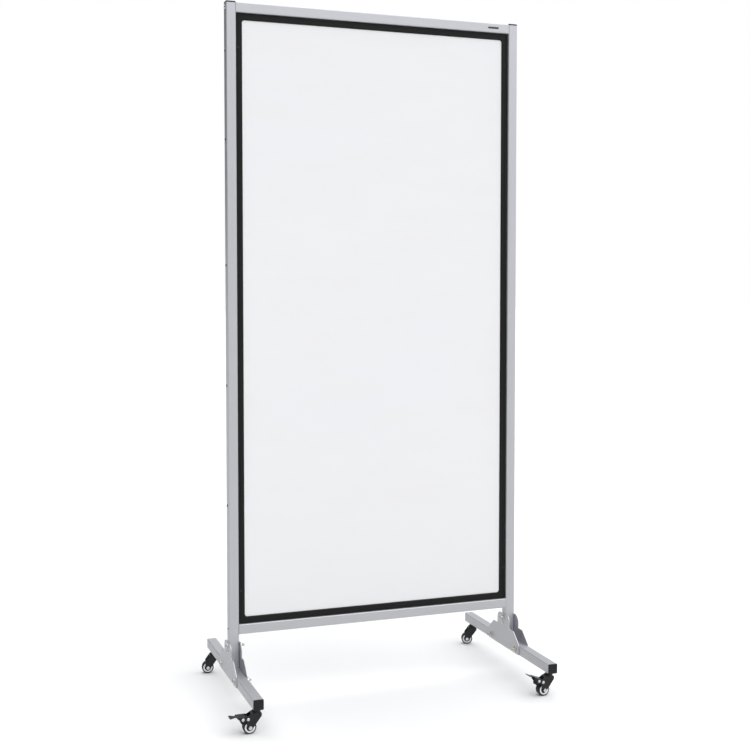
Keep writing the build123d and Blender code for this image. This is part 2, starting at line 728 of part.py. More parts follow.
def cross_rivet(axis, head_at):
    """A pin across the caster with a domed head at each end; the heads start at `head_at`."""
    with BuildPart() as rivet:
        with BuildSketch(axis):
            Circle(M5)
        extrude(amount=head_at + 1, both=True)
        for side in (-1, 1):
            with BuildSketch(axis.offset(side * head_at)):
                Circle(RIVET_HEAD_R)
            extrude(amount=side * 1.8, taper=35)
    return rivet


def brake_shoe(lever):
    """The block under the lever that the pedal presses on the tyre."""
    with BuildPart() as shoe:
        with BuildSketch(side_plane(lever, 0)):
            with BuildLine():
                Polyline(
                    (-7, LEVER_TOP - LEVER_PLATE),
                    (-20, LEVER_TOP - LEVER_PLATE),
                    (-20, -9),
                    (-17.5, -14.5),
                    (-7, -14.5),
                    close=True,
                )
            make_face()
            with Locations((AXLE[0] - PIVOT[0], AXLE[1] - PIVOT[1])):
                Circle(WHEEL_R + SHOE_GAP, mode=Mode.SUBTRACT)
            with Locations((-TOGGLE_BACK, 0)):
                Circle(M5, mode=Mode.SUBTRACT)
        extrude(amount=9, both=True)
    return shoe


for corner, raised in BRAKES.items():
    frame = stems[corner]
    lever = lever_frame(frame, raised)
    cross = side_plane(lever, 0)
    save(brake_lever(lever), f"{corner}_brake_lever")
    save(brake_shoe(lever), f"{corner}_brake_shoe")
    save(cross_rivet(cross, CHEEK_OUT + 0.3), f"{corner}_pivot_rivet")
    toggle = Plane(origin=cross.from_local_coords((-TOGGLE_BACK, 0, 0)), x_dir=cross.x_dir, z_dir=cross.z_dir)
    save(cross_rivet(toggle, CHEEK_OUT), f"{corner}_lever_rivet")
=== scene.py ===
"""Looks of a rolling whiteboard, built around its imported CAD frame. Lengths are in metres."""

import json
import math

import bmesh
import bpy
from mathutils import Matrix, Vector

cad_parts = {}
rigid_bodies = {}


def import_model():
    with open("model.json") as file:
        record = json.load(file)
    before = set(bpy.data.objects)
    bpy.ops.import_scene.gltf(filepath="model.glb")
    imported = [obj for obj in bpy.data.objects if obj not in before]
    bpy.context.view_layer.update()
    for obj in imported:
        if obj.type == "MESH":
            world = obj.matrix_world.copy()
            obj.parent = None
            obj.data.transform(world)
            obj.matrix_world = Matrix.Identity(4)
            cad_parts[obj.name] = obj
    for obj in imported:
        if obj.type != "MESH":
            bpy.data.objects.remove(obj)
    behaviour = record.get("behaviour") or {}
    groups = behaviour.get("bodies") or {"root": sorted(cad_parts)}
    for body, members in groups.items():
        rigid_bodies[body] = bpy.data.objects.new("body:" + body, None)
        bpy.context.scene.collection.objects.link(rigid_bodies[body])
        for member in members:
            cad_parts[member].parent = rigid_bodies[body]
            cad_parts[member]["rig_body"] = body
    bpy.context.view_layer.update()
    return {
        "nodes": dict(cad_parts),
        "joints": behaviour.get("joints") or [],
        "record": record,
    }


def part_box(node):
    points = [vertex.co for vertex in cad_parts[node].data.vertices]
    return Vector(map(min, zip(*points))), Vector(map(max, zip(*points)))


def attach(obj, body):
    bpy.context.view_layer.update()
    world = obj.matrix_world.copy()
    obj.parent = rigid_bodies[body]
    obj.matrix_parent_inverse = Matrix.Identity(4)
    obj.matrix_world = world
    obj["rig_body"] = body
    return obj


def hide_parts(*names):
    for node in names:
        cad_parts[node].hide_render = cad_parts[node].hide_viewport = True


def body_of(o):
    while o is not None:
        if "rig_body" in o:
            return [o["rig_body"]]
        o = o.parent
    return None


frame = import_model()

MM = 0.001
CORNERS = ("front_left", "front_right", "rear_left", "rear_right")
BRAKED = ("front_left", "front_right")
JOINTS = {joint["name"]: joint for joint in frame["joints"]}

# ---------------------------------------------------------------- camera
CAMERA_PLACE = (-1.2395, -3.4890, 1.2504)
CAMERA_TURN = 19.894  # degrees to the right of straight ahead
CAMERA_TILT = 2.588  # degrees down
CAMERA_LENS = 57.032
CAMERA_SHIFT = -0.045


def make_camera():
    data = bpy.data.cameras.new("camera")
    data.lens = CAMERA_LENS
    data.sensor_width = 36
    data.shift_y = CAMERA_SHIFT
    camera = bpy.data.objects.new("camera", data)
    camera.location = CAMERA_PLACE
    camera.rotation_euler = (math.radians(90 - CAMERA_TILT), 0, math.radians(-CAMERA_TURN))
    bpy.context.scene.collection.objects.link(camera)
    bpy.context.scene.camera = camera


# ---------------------------------------------------------------- material helpers
class Shader:
    """A material under construction: its node tree, its Principled BSDF and a few node shorthands."""

    def __init__(self, name, colour, rough, metal=0.0, **sockets):
        self.material = bpy.data.materials.new(name)
        self.material.use_nodes = True
        self.nodes = self.material.node_tree.nodes
        self.links = self.material.node_tree.links
        self.bsdf = self.nodes["Principled BSDF"]
        self.set("Base Color", (*colour, 1))
        self.set("Roughness", rough)
        self.set("Metallic", metal)
        for socket, value in sockets.items():
            self.set(socket.replace("_", " "), value)
        self.place = self.nodes.new("ShaderNodeTexCoord").outputs["Object"]

    def set(self, socket, value):
        self.bsdf.inputs[socket].default_value = value

    def noise(self, scale, detail=2.0, stretch=(1, 1, 1)):
        """Noise over the piece's own coordinates; `scale` is in cells per metre."""
        mapping = self.nodes.new("ShaderNodeMapping")
        mapping.inputs["Scale"].default_value = stretch
        self.links.new(self.place, mapping.inputs["Vector"])
        noise = self.nodes.new("ShaderNodeTexNoise")
        noise.inputs["Scale"].default_value = scale
        noise.inputs["Detail"].default_value = detail
        self.links.new(mapping.outputs["Vector"], noise.inputs["Vector"])
        return noise.outputs["Fac"]

    def spread(self, source, low, high, start=0.3, end=0.7):
        """`source` from start to end, mapped to low to high."""
        node = self.nodes.new("ShaderNodeMapRange")
        for socket, value in (("From Min", start), ("From Max", end), ("To Min", low), ("To Max", high)):
            node.inputs[socket].default_value = value
        self.links.new(source, node.inputs["Value"])
        return node.outputs["Result"]

    def mix(self, factor, first, second):
        """Colour `first` to `second` by factor; each is a colour or a socket."""
        node = self.nodes.new("ShaderNodeMix")
        node.data_type = "RGBA"
        self.links.new(factor, node.inputs["Factor"])
        for name, value in (("A", first), ("B", second)):
            socket = next(s for s in node.inputs if s.name == name and s.type == "RGBA")
            if isinstance(value, bpy.types.NodeSocket):
                self.links.new(value, socket)
            else:
                socket.default_value = (*value, 1)
        return next(s for s in node.outputs if s.type == "RGBA")

    def edges(self, radius):
        """1 on edges that turn within `radius`, 0 on flats."""
        bevel = self.nodes.new("ShaderNodeBevel")
        bevel.samples = 4
        bevel.inputs["Radius"].default_value = radius
        geometry = self.nodes.new("ShaderNodeNewGeometry")
        dot = self.nodes.new("ShaderNodeVectorMath")
        dot.operation = "DOT_PRODUCT"
        self.links.new(bevel.outputs["Normal"], dot.inputs[0])
        self.links.new(geometry.outputs["Normal"], dot.inputs[1])
        return self.spread(dot.outputs["Value"], 1.0, 0.0, 0.80, 0.995)

    def colour(self, source):
        self.links.new(source, self.bsdf.inputs["Base Color"])

    def rough(self, source):
        self.links.new(source, self.bsdf.inputs["Roughness"])

    def bump(self, *layers):
        """Bumps one over another; each layer is (height socket, strength, distance)."""
        normal = None
        for height, strength, distance in layers:
            node = self.nodes.new("ShaderNodeBump")
            node.inputs["Strength"].default_value = strength
            node.inputs["Distance"].default_value = distance
            self.links.new(height, node.inputs["Height"])
            if normal:
                self.links.new(normal, node.inputs["Normal"])
            normal = node.outputs["Normal"]
        self.links.new(normal, self.bsdf.inputs["Normal"])


# ---------------------------------------------------------------- materials
def silver_paint():
    """Satin silver powder coat: fine metallic grain, soft orange peel, edges a little brighter."""
    s = Shader("silver_paint", (0.60, 0.60, 0.63), 0.38, metal=0.75)
    flake = s.spread(s.noise(1900, 3), 0, 1, 0.35, 0.65)
    cloud = s.spread(s.noise(7, 3), 0, 1)
    grained = s.mix(flake, (0.54, 0.545, 0.575), (0.67, 0.675, 0.705))
    s.colour(s.mix(s.edges(0.0012), s.mix(cloud, grained, (0.60, 0.605, 0.635)), (0.74, 0.74, 0.77)))
    s.rough(s.spread(s.noise(320, 2), 0.33, 0.45))
    s.bump((s.noise(520, 2), 0.10, 0.0002), (s.noise(2400, 1), 0.10, 0.00005))
    return s.material


def extruded_trim(name, along):
    """Black extruded plastic with faint die lines along `along`."""
    stretch = [1.0, 1.0, 1.0]
    stretch[along] = 0.004
    s = Shader(name, (0.009, 0.009, 0.010), 0.42, Specular_IOR_Level=0.2)
    lines = s.noise(1400, 2, stretch)
    s.colour(s.mix(s.spread(lines, 0, 1), (0.006, 0.006, 0.0065), (0.013, 0.013, 0.0135)))
    s.rough(s.spread(s.noise(260, 2, stretch), 0.34, 0.52))
    s.bump((lines, 0.15, 0.0001), (s.noise(1500, 2), 0.08, 0.00005))
    return s.material


def moulded_black(name, colour, rough, grain):
    """Injection-moulded plastic with a fine spark-eroded grain."""
    s = Shader(name, colour, rough, Specular_IOR_Level=0.3)
    light = tuple(c * 1.7 for c in colour)
    s.colour(s.mix(s.spread(s.noise(90, 4), 0, 1), colour, light))
    s.rough(s.spread(s.noise(420, 3), rough - 0.06, rough + 0.08))
    s.bump((s.noise(grain, 3), 0.22, 0.00008))
    return s.material


def white_enamel():
    """Dry-erase enamel: white, clear-coated, very faintly wavy, with the last wipes just visible."""
    s = Shader("white_enamel", (0.85, 0.855, 0.87), 0.16, Coat_Weight=0.5, Coat_Roughness=0.06)
    cloud = s.spread(s.noise(1.6, 2), 0, 1)
    ghost = s.spread(s.noise(9, 4, (0.35, 1, 1.6)), 0, 1, 0.45, 0.8)
    base = s.mix(cloud, (0.845, 0.85, 0.87), (0.86, 0.86, 0.87))
    s.colour(s.mix(ghost, base, (0.855, 0.845, 0.85)))
    s.rough(s.spread(s.noise(14, 5, (0.25, 1, 1)), 0.12, 0.24))
    s.bump((s.noise(28, 2), 0.04, 0.0004), (s.noise(900, 2), 0.03, 0.00004))
    return s.material


def pressed_board():
    s = Shader("board_core", (0.33, 0.22, 0.13), 0.8)
    s.colour(s.mix(s.spread(s.noise(900, 6), 0, 1), (0.24, 0.15, 0.08), (0.46, 0.33, 0.21)))
    s.bump((s.noise(1300, 5), 0.5, 0.0002))
    return s.material


def zinc_plate(name, first, second, edge):
    """Bright zinc with a drawn grain; its passivation mottles it from the first tint to the second."""
    s = Shader(name, first, 0.2, metal=1.0)
    tint = s.spread(s.noise(110, 2), 0, 1, 0.35, 0.65)
    s.colour(s.mix(s.edges(0.0005), s.mix(tint, first, second), edge))
    s.rough(s.spread(s.noise(700, 2), 0.16, 0.26))
    s.bump((s.noise(1500, 2), 0.04, 0.00003))
    return s.material


def polished_steel():
    s = Shader("bearing_steel", (0.72, 0.72, 0.74), 0.1, metal=1.0)
    s.rough(s.spread(s.noise(900, 2), 0.06, 0.16))
    s.colour(s.mix(s.spread(s.noise(300, 2), 0, 1), (0.68, 0.68, 0.70), (0.76, 0.76, 0.78)))
    return s.material


def enamelled_black(name, colour, rough):
    """Semi-gloss black on pressed steel: slight orange peel, and a painted grey highlight along the edges."""
    s = Shader(name, colour, rough, Specular_IOR_Level=0.35, Coat_Weight=0.2, Coat_Roughness=0.12)
    mottled = s.mix(s.spread(s.noise(160, 4), 0, 1), colour, tuple(c * 1.9 for c in colour))
    # painted highlight: the edges turn grey where they round over
    s.colour(s.mix(s.edges(0.0006), mottled, (0.085, 0.085, 0.090)))
    s.rough(s.spread(s.noise(300, 3), rough - 0.07, rough + 0.09))
    s.bump((s.noise(420, 2), 0.16, 0.00018), (s.noise(1900, 2), 0.08, 0.00004))
    return s.material


def tyre_rubber():
    """Smooth black tread, dusty and scuffed on its running face."""
    s = Shader("tyre", (0.012, 0.012, 0.013), 0.5, Specular_IOR_Level=0.35)
    scuff = s.spread(s.noise(260, 5), 0, 1, 0.5, 0.75)
    s.colour(s.mix(scuff, (0.010, 0.010, 0.011), (0.034, 0.033, 0.032)))
    s.rough(s.spread(s.noise(500, 3), 0.42, 0.62))
    s.bump((s.noise(700, 4), 0.2, 0.0001))
    return s.material


def bright_ring():
    """The plated ring in the wheel's side."""
    s = Shader("hub_ring", (0.93, 0.93, 0.94), 0.22, metal=0.1)
    s.colour(s.mix(s.spread(s.noise(400, 3), 0, 1), (0.91, 0.91, 0.92), (0.95, 0.95, 0.955)))
    s.rough(s.spread(s.noise(800, 2), 0.18, 0.28))
    s.bump((s.noise(900, 2), 0.04, 0.00003))
    return s.material


MATERIALS = {
    "silver_paint": silver_paint(),
    "black_plastic": moulded_black("black_plastic", (0.009, 0.009, 0.010), 0.42, 2600),
    "black_trim": extruded_trim("black_trim_upright", 2),
    "white_enamel": white_enamel(),
    "board_core": pressed_board(),
    "zinc": zinc_plate("zinc", (0.75, 0.71, 0.64), (0.72, 0.70, 0.66), (0.86, 0.84, 0.80)),
    "bearing_steel": polished_steel(),
    "black_screw": enamelled_black("black_screw", (0.010, 0.010, 0.011), 0.38),
    "badge": moulded_black("badge", (0.045, 0.045, 0.05), 0.35, 3000),
    "caster_black": enamelled_black("caster_black", (0.006, 0.006, 0.0065), 0.34),
    "tyre": tyre_rubber(),
    "hub_plastic": moulded_black("hub_plastic", (0.007, 0.007, 0.008), 0.30, 1800),
    "hub_ring": bright_ring(),
    "shoe_rubber": moulded_black("shoe_rubber", (0.012, 0.012, 0.012), 0.62, 1500),
}
TRIM_ACROSS = extruded_trim("black_trim_across", 0)
CLEAR_ZINC = zinc_plate("clear_zinc", (0.80, 0.80, 0.81), (0.76, 0.77, 0.79), (0.90, 0.90, 0.91))
SLOT_OF = {part["node"]: part["material_slot"] for part in frame["record"]["subparts"]}


def material_for(node):
    if node in ("top_trim", "bottom_trim"):
        return TRIM_ACROSS
    if SLOT_OF[node] == "zinc" and not node.startswith("bracket_"):
        return CLEAR_ZINC
    return MATERIALS[SLOT_OF[node]]


def finish_cad_nodes():
    """Every CAD node gets its material, whether or not a piece stands for it later."""
    for node, obj in frame["nodes"].items():
        obj.data.materials.clear()
        obj.data.materials.append(material_for(node))


# ---------------------------------------------------------------- mesh helpers (sizes in mm)
SHARP_TURN = math.radians(35)  # edges that turn by more than this are rounded


def frame_at(origin, x_axis, y_axis, z_axis):
    """The placing matrix of a local frame whose origin is in metres."""
    turn = Matrix((x_axis, y_axis, z_axis)).transposed().to_4x4()
    return Matrix.Translation(origin) @ turn


def rounded(points, radii, steps):
    """The closed polygon with its corners turned into arcs of those radii."""
    path = []
    for i, (point, r) in enumerate(zip(points, radii)):
        corner = Vector(point)
        back = Vector(points[i - 1]) - corner
        ahead = Vector(points[(i + 1) % len(points)]) - corner
        half = back.angle(ahead) / 2
        reach = min(r / math.tan(half), 0.49 * back.length, 0.49 * ahead.length)
        bisector = (back.normalized() + ahead.normalized()).normalized()
        centre = corner + bisector * (reach / math.cos(half))
        start = corner + back.normalized() * reach - centre
        end = corner + ahead.normalized() * reach - centre
        for k in range(steps + 1):
            spoke = start.lerp(end, k / steps)
            path.append(centre + spoke.normalized() * start.length)
    return path


def skinned(rows, closed=False):
    """A shell through rows of points, each row a loop or a single point at a pole."""
    bm = bmesh.new()
    made = [[bm.verts.new(Vector(point) * MM) for point in row] for row in rows]
    count = max(len(row) for row in made)
    made = [row * count if len(row) == 1 else row for row in made]
    for low, high in zip(made, made[1:] + (made[:1] if closed else [])):
        for k in range(count):
            n = (k + 1) % count
            corners = []
            for vert in (low[k], low[n], high[n], high[k]):
                if vert not in corners:
                    corners.append(vert)
            if len(corners) > 2:
                bm.faces.new(corners)
    bmesh.ops.recalc_face_normals(bm, faces=bm.faces)
    return bm


def spun(rings, closed=False, segments=60):
    """A shell turned about z. A ring is (along, radius), or a function of the angle that gives one."""
    rows = []
    for ring in rings:
        if not callable(ring) and ring[1] == 0:
            rows.append([(0, 0, ring[0])])
            continue
        row = []
        for k in range(segments):
            angle = math.tau * k / segments
            along, radius = ring(angle) if callable(ring) else ring
            row.append((radius * math.cos(angle), radius * math.sin(angle), along))
        rows.append(row)
    return skinned(rows, closed)


def squares(loops):
    """A shell through rounded squares stacked along z; each is (half size, corner radius, z)."""
    rows = []
    for half, corner, z in loops:
        if half == 0:
            rows.append([(0, 0, z)])
            continue
        outline = rounded([(half, half), (-half, half), (-half, -half), (half, -half)], [corner] * 4, 5)
        rows.append([(x, y, z) for x, y in outline])
    return skinned(rows)


def hexagon(corner_r, angle):
    """Distance from the middle of a hexagon to its edge at that angle."""
    return corner_r * math.cos(math.pi / 6) / math.cos(angle % (math.pi / 3) - math.pi / 6)


def hex_wall(along, corner_r, slope=0.0):
    """A ring on a hexagon's wall. With a slope, its corners are turned down as on a chamfered nut."""
    flat = corner_r * 0.95

    def ring(angle):
        radius = hexagon(corner_r, angle)
        return along - slope * max(0.0, radius - flat), radius

    return ring


def hex_socket(along, corner_r):
    return lambda angle: (along, hexagon(corner_r, angle))


def softened(node, width):
    """A shell copied from a CAD node, its sharp edges rounded over that width."""
    bm = bmesh.new()
    bm.from_mesh(frame["nodes"][node].data)
    bmesh.ops.remove_doubles(bm, verts=bm.verts, dist=1e-6)
    bmesh.ops.dissolve_limit(bm, angle_limit=math.radians(1), verts=bm.verts, edges=bm.edges)
    sharp = [e for e in bm.edges if len(e.link_faces) == 2 and e.calc_face_angle() > SHARP_TURN]
    bmesh.ops.bevel(
        bm, geom=sharp, offset=width * MM, segments=2, profile=0.5, affect="EDGES", clamp_overlap=False
    )
    bmesh.ops.dissolve_degenerate(bm, dist=1e-7, edges=bm.edges)
    return bm


def add_piece(name, node, shells, turn=30):
    """One object from closed shells, each (shell, place), that stands for a CAD node."""
    mesh = bpy.data.meshes.new(name)
    whole = bmesh.new()
    for shell, place in shells:
        shell.transform(place)
        part = bpy.data.meshes.new("part")
        shell.to_mesh(part)
        shell.free()
        whole.from_mesh(part)
        bpy.data.meshes.remove(part)
    whole.to_mesh(mesh)
    whole.free()
    mesh.shade_smooth()
    mesh.set_sharp_from_angle(angle=math.radians(turn))
    mesh.materials.append(material_for(node))
    piece = bpy.data.objects.new(name, mesh)
    bpy.context.scene.collection.objects.link(piece)
    weighted = piece.modifiers.new("weighted_normals", "WEIGHTED_NORMAL")
    weighted.keep_sharp = True
    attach(piece, body_of(frame["nodes"][node])[0])
    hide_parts(node)
    return piece


def add_softened(name, node, width):
    """One object that is its CAD node with rounded edges."""
    return add_piece(name, node, [(softened(node, width), HERE)])


X, Y, Z = Vector((1, 0, 0)), Vector((0, 1, 0)), Vector((0, 0, 1))
HERE = Matrix.Identity(4)


# ---------------------------------------------------------------- tube end caps
TUBE_HALF = 15.0
TUBE_INSIDE = 13.4
PLUG_WALL = 2.5
PLUG_DEPTH = 8.0
TOP_CAP_THICK = 5.0
END_CAP_THICK = 3.0
END_CAP_DISH = 0.5


def cap_shell(thick, dish):
    """A moulded cap: hollow plug, rim as wide as the tube, crowned top with an optional shallow panel."""
    inner, outer = TUBE_INSIDE - PLUG_WALL, TUBE_HALF
    loops = [
        (0, 0, 0.4),
        (inner, 1.0, 0.4),
        (inner, 1.0, 0.4 - PLUG_DEPTH),
        (inner + 0.4, 1.2, -PLUG_DEPTH),
        (TUBE_INSIDE - 0.7, 1.4, -PLUG_DEPTH),
        (TUBE_INSIDE, 1.5, 0.9 - PLUG_DEPTH),
        (TUBE_INSIDE, 1.5, 0),
        (outer - 0.35, 2.8, 0),
        (outer, 3.0, 0.35),
        (outer, 3.0, thick * 0.52),
        (outer - 0.25, 2.9, thick * 0.72),
        (outer - 0.8, 2.7, thick * 0.87),
        (outer - 1.7, 2.4, thick * 0.96),
        (outer - 2.8, 2.2, thick),
    ]
    if dish:
        loops += [(outer - 3.3, 2.1, thick), (outer - 3.9, 2.0, thick - dish), (0, 0, thick - dish)]
    else:
        loops += [(outer - 8, 2.0, thick), (0, 0, thick)]
    return squares(loops)


def add_caps():
    """The caps on top of the uprights and at the ends of the feet."""
    low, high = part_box("upright_caps")
    thick = TOP_CAP_THICK
    tops = [
        (cap_shell(thick, 0), frame_at((x, 0, high.z - thick * MM), X, Y, Z))
        for x in (low.x + TUBE_HALF * MM, high.x - TUBE_HALF * MM)
    ]
    add_piece("upright_top_caps", "upright_caps", tops)
    low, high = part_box("foot_end_caps")
    thick = END_CAP_THICK
    middle = (low.z + high.z) / 2
    ends = []
    for x in (low.x + TUBE_HALF * MM, high.x - TUBE_HALF * MM):
        ends.append((cap_shell(thick, END_CAP_DISH), frame_at((x, low.y + thick * MM, middle), X, Z, -Y)))
        ends.append((cap_shell(thick, END_CAP_DISH), frame_at((x, high.y - thick * MM, middle), -X, Z, Y)))
    add_piece("foot_tube_caps", "foot_end_caps", ends)


# ---------------------------------------------------------------- bracket fasteners
BOLT_R = 4.0
BOLT_HEAD_R = 7.2
BOLT_HEAD_RISE = 4.4
BOLT_SOCKET_R = 2.9
BOLT_THREAD = 20.0  # length of thread from the tip
WASHER_R = 8.5
WASHER_THICK = 1.6
NUT_R = 7.5
NUT_THICK = 6.5
BOLT_BEYOND = 8.0  # bolt's tip past its nut
PLATE_OUT = 17.5  # upright's middle to the brackets' outer faces
THREAD_PITCH = 1.25


def thread(start, end, radius, pitch):
    """The rings of a thread's crests and roots from start to end, which is the higher."""
    count = int((end - start) / pitch)
    rings = []
    for k in range(count):
        at = start + k * pitch
        rings += [(at + pitch * 0.1, radius - 0.55), (at + pitch * 0.45, radius), (at + pitch * 0.65, radius)]
    return rings


def button_head(head_r, rise, socket_r):
    """Rings of a domed head from its seat to its hexagon socket, which ends at the middle."""
    dome = [(0, head_r - 0.3), (0.25, head_r)]
    for k in range(1, 9):
        angle = math.pi / 2 * k / 10
        dome.append((0.25 + (rise - 0.25) * math.sin(angle), head_r * (0.35 + 0.65 * math.cos(angle))))
    return dome + [
        (rise, socket_r * 1.22),
        hex_socket(rise - 0.25, socket_r),
        hex_socket(rise * 0.4, socket_r),
        (rise * 0.3, 0),
    ]


def bolt_shell(seat, tip):
    """A button-head bolt along z with its thread at the far end."""
    shank = BOLT_R - 0.02
    rings = [(tip, 0), (tip, shank - 0.9), (tip + 0.5, shank - 0.5)]
    rings += thread(tip + 0.6, tip + BOLT_THREAD, shank, THREAD_PITCH)
    rings += [(tip + BOLT_THREAD + 0.6, shank), (seat, shank)]
    head = button_head(BOLT_HEAD_R, BOLT_HEAD_RISE, BOLT_SOCKET_R)
    rings += [(seat + ring[0], ring[1]) if isinstance(ring, tuple) else lifted(ring, seat) for ring in head]
    return spun(rings)


def lifted(ring, rise):
    """A ring function moved along z."""
    return lambda angle: (ring(angle)[0] + rise, ring(angle)[1])


def nut_shell(start, corner_r, bore, thick):
    """A chamfered hexagon nut from `start` along z, with a washer face and a countersunk bore."""
    top = start + thick
    rings = [
        (start, bore + 0.6),
        (start, corner_r * 0.84),
        (start + 0.3, corner_r * 0.86),
        hex_wall(start + 0.3, corner_r, -0.55),
        hex_wall(top - 0.1, corner_r, 0.55),
        (top, corner_r * 0.84),
        (top, bore + 0.7),
        (top - 0.7, bore),
        (start + 0.6, bore),
    ]
    return spun(rings, closed=True)


def washer_shell(start, outer, bore, thick):
    """A pressed washer with its edges rounded on the punch's side."""
    top = start + thick
    corners = [(start, bore), (start, outer), (top, outer), (top, bore)]
    return spun(rounded(corners, [0.15, 0.25, 0.55, 0.4], 4), closed=True)


def bolt_places():
    """The frames of the six bracket bolts: origin in the tube's middle, z out of the stand."""
    low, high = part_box("bracket_washers")
    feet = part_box("left_foot")
    foot_mid = (feet[0].z + feet[1].z) / 2
    out = (PLATE_OUT + WASHER_THICK) * MM
    places = []
    for x, side in ((low.x + out, -1), (high.x - out, 1)):
        spots = [(0, high.z - WASHER_R * MM)]
        spots += [(y, foot_mid) for y in (low.y + WASHER_R * MM, high.y - WASHER_R * MM)]
        for y, z in spots:
            places.append(frame_at((x, y, z), Y * side, Z, X * side))
    return places


def add_bracket_fasteners():
    places = bolt_places()
    seat = PLATE_OUT + WASHER_THICK
    tip = -seat - NUT_THICK - BOLT_BEYOND
    bolts = [(bolt_shell(seat, tip), place) for place in places]
    add_piece("bracket_button_bolts", "bracket_bolts", bolts)
    washers = [
        (washer_shell(start, WASHER_R, BOLT_R + 0.25, WASHER_THICK), place)
        for place in places
        for start in (PLATE_OUT, -seat)
    ]
    add_piece("bracket_flat_washers", "bracket_washers", washers)
    nuts = [(nut_shell(-seat - NUT_THICK, NUT_R, BOLT_R, NUT_THICK), place) for place in places]
    add_piece("bracket_hex_nuts", "bracket_nuts", nuts)


# ---------------------------------------------------------------- casters
TREAD_HALF = 10.25
TYRE_BORE = 15.0
RIM_HALF = 9.25
RING_INSIDE = 10.2
BOSS_HALF = 11.2
AXLE_R = 3.0
LEG_OUT = 13.5  # caster's middle to its fork's outer faces
AXLE_HEAD_R = 5.8
AXLE_HEAD_RISE = 4.0
AXLE_NUT_THICK = 5.0
AXLE_BEYOND = 1.0  # axle's tip past its nut
CHEEK_OUT = 15.5  # and to its brake lever's
PIVOT_GAP = 0.3  # between the pivot rivet's heads and the lever that turns under them
LEVER_EDGE = 0.35  # widths over which the edges are rounded
SHOE_EDGE = 0.5
RIVET_R = 2.5
RIVET_HEAD_R = 4.5
RIVET_RISE = 1.8
COLLAR_LOW = 66.0
COLLAR_R = 9.8
RACE_LOW = 61.2
RACE_R = 13.5
FOOT_BOTTOM = 72.0
CROWN_UNDER = 57.0
STUD_TOP = 91.5
STUD_R = 4.98
STUD_PITCH = 1.5
SPOKES = 6


def caster_axes(corner):
    """The caster's ahead direction (away from its trail), the wheel's axis, and the stem's x and y."""
    across = Vector(JOINTS[f"{corner}_wheel_roll"]["axis"]).normalized()
    stem = JOINTS[f"{corner}_swivel_turn"]["pos_m"]
    return across.cross(Z), across, (stem[0], stem[1])


def across_frame(corner, centre):
    """A frame at `centre` with z along the wheel's axis, to the caster's outer side."""
    ahead, across, _ = caster_axes(corner)
    return frame_at(centre, ahead, Z, -across)


def tyre_rings(radius):
    """Closed profile: crowned tread with a moulding line, round shoulders, a bead step on each wall."""
    side = [
        (TREAD_HALF - 0.6, TYRE_BORE),
        (TREAD_HALF - 0.1, TYRE_BORE + 0.25),
        (TREAD_HALF - 0.1, TYRE_BORE + 0.7),
        (TREAD_HALF - 0.45, TYRE_BORE + 0.95),
        (TREAD_HALF - 0.05, TYRE_BORE + 1.25),
    ]
    for k in range(7):
        angle = math.pi / 2 * k / 6
        side.append((TREAD_HALF - 2.6 + 2.6 * math.cos(angle), radius - 2.35 + 2.15 * math.sin(angle)))
    side += [(4.0, radius - 0.05), (0.45, radius), (0.2, radius - 0.16)]
    return side + [(-along, r) for along, r in reversed(side)]


def hub_rings():
    """Closed profile of the hub; the web between boss and rim is sunk between its spokes."""

    def web(along, radius, depth):
        def ring(angle):
            swell = 0.5 + 0.5 * math.cos(SPOKES * angle)
            pocket = 1 - min(1.0, max(0.0, (swell - 0.25) / 0.35))
            return along - math.copysign(depth * pocket, along), radius

        return ring

    bore = AXLE_R + 0.06
    side = [
        (BOSS_HALF - 0.4, bore),
        (BOSS_HALF, bore + 0.4),
        (BOSS_HALF, 4.8),
        (BOSS_HALF - 0.4, 5.2),
        (RIM_HALF - 1.2, 5.7),
        web(RIM_HALF - 1.9, 6.0, 0.3),
        web(RIM_HALF - 2.0, 6.4, 2.4),
        web(RIM_HALF - 2.0, 8.5, 2.4),
        web(RIM_HALF - 1.7, 9.0, 0.3),
        (RIM_HALF - 0.5, 9.7),
        (RIM_HALF - 0.1, RING_INSIDE - 0.2),
        (RIM_HALF - 0.02, RING_INSIDE + 0.2),
        (RIM_HALF - 0.02, TYRE_BORE - 0.02),
    ]

    def mirrored(ring):
        if callable(ring):
            return lambda angle: (-ring(angle)[0], ring(angle)[1])
        return -ring[0], ring[1]

    return side + [mirrored(ring) for ring in reversed(side)]


def plated_ring(side):
    """Closed profile of one bright ring: convex, with a rolled inner lip."""
    face, back = (RIM_HALF + 1.3) * side, RIM_HALF * side
    arch = []
    for k in range(9):
        t = k / 8
        bulge = 0.45 + 0.55 * math.sin(math.pi * (0.08 + 0.84 * t))
        radius = RING_INSIDE + 0.15 + (TYRE_BORE - RING_INSIDE - 0.25) * t
        arch.append((back + (face - back) * bulge, radius))
    return [(back, RING_INSIDE + 0.05)] + arch + [(back, TYRE_BORE - 0.02)]


def axle_rings():
    """Profile of the axle bolt, from its tip to its chamfered hexagon head."""
    tip = -LEG_OUT - AXLE_NUT_THICK - AXLE_BEYOND
    head = LEG_OUT + AXLE_HEAD_RISE
    return [
        (tip, 0),
        (tip, AXLE_R - 0.6),
        (tip + 0.4, AXLE_R - 0.25),
        (tip + 1.0, AXLE_R - 0.02),
        (LEG_OUT, AXLE_R - 0.02),
        (LEG_OUT, AXLE_HEAD_R * 0.86),
        hex_wall(LEG_OUT + 0.25, AXLE_HEAD_R, -0.5),
        hex_wall(head - 0.3, AXLE_HEAD_R, 0.6),
        (head, AXLE_HEAD_R * 0.80),
        (head - 0.25, AXLE_HEAD_R * 0.66),
        (head - 0.25, 0),
    ]


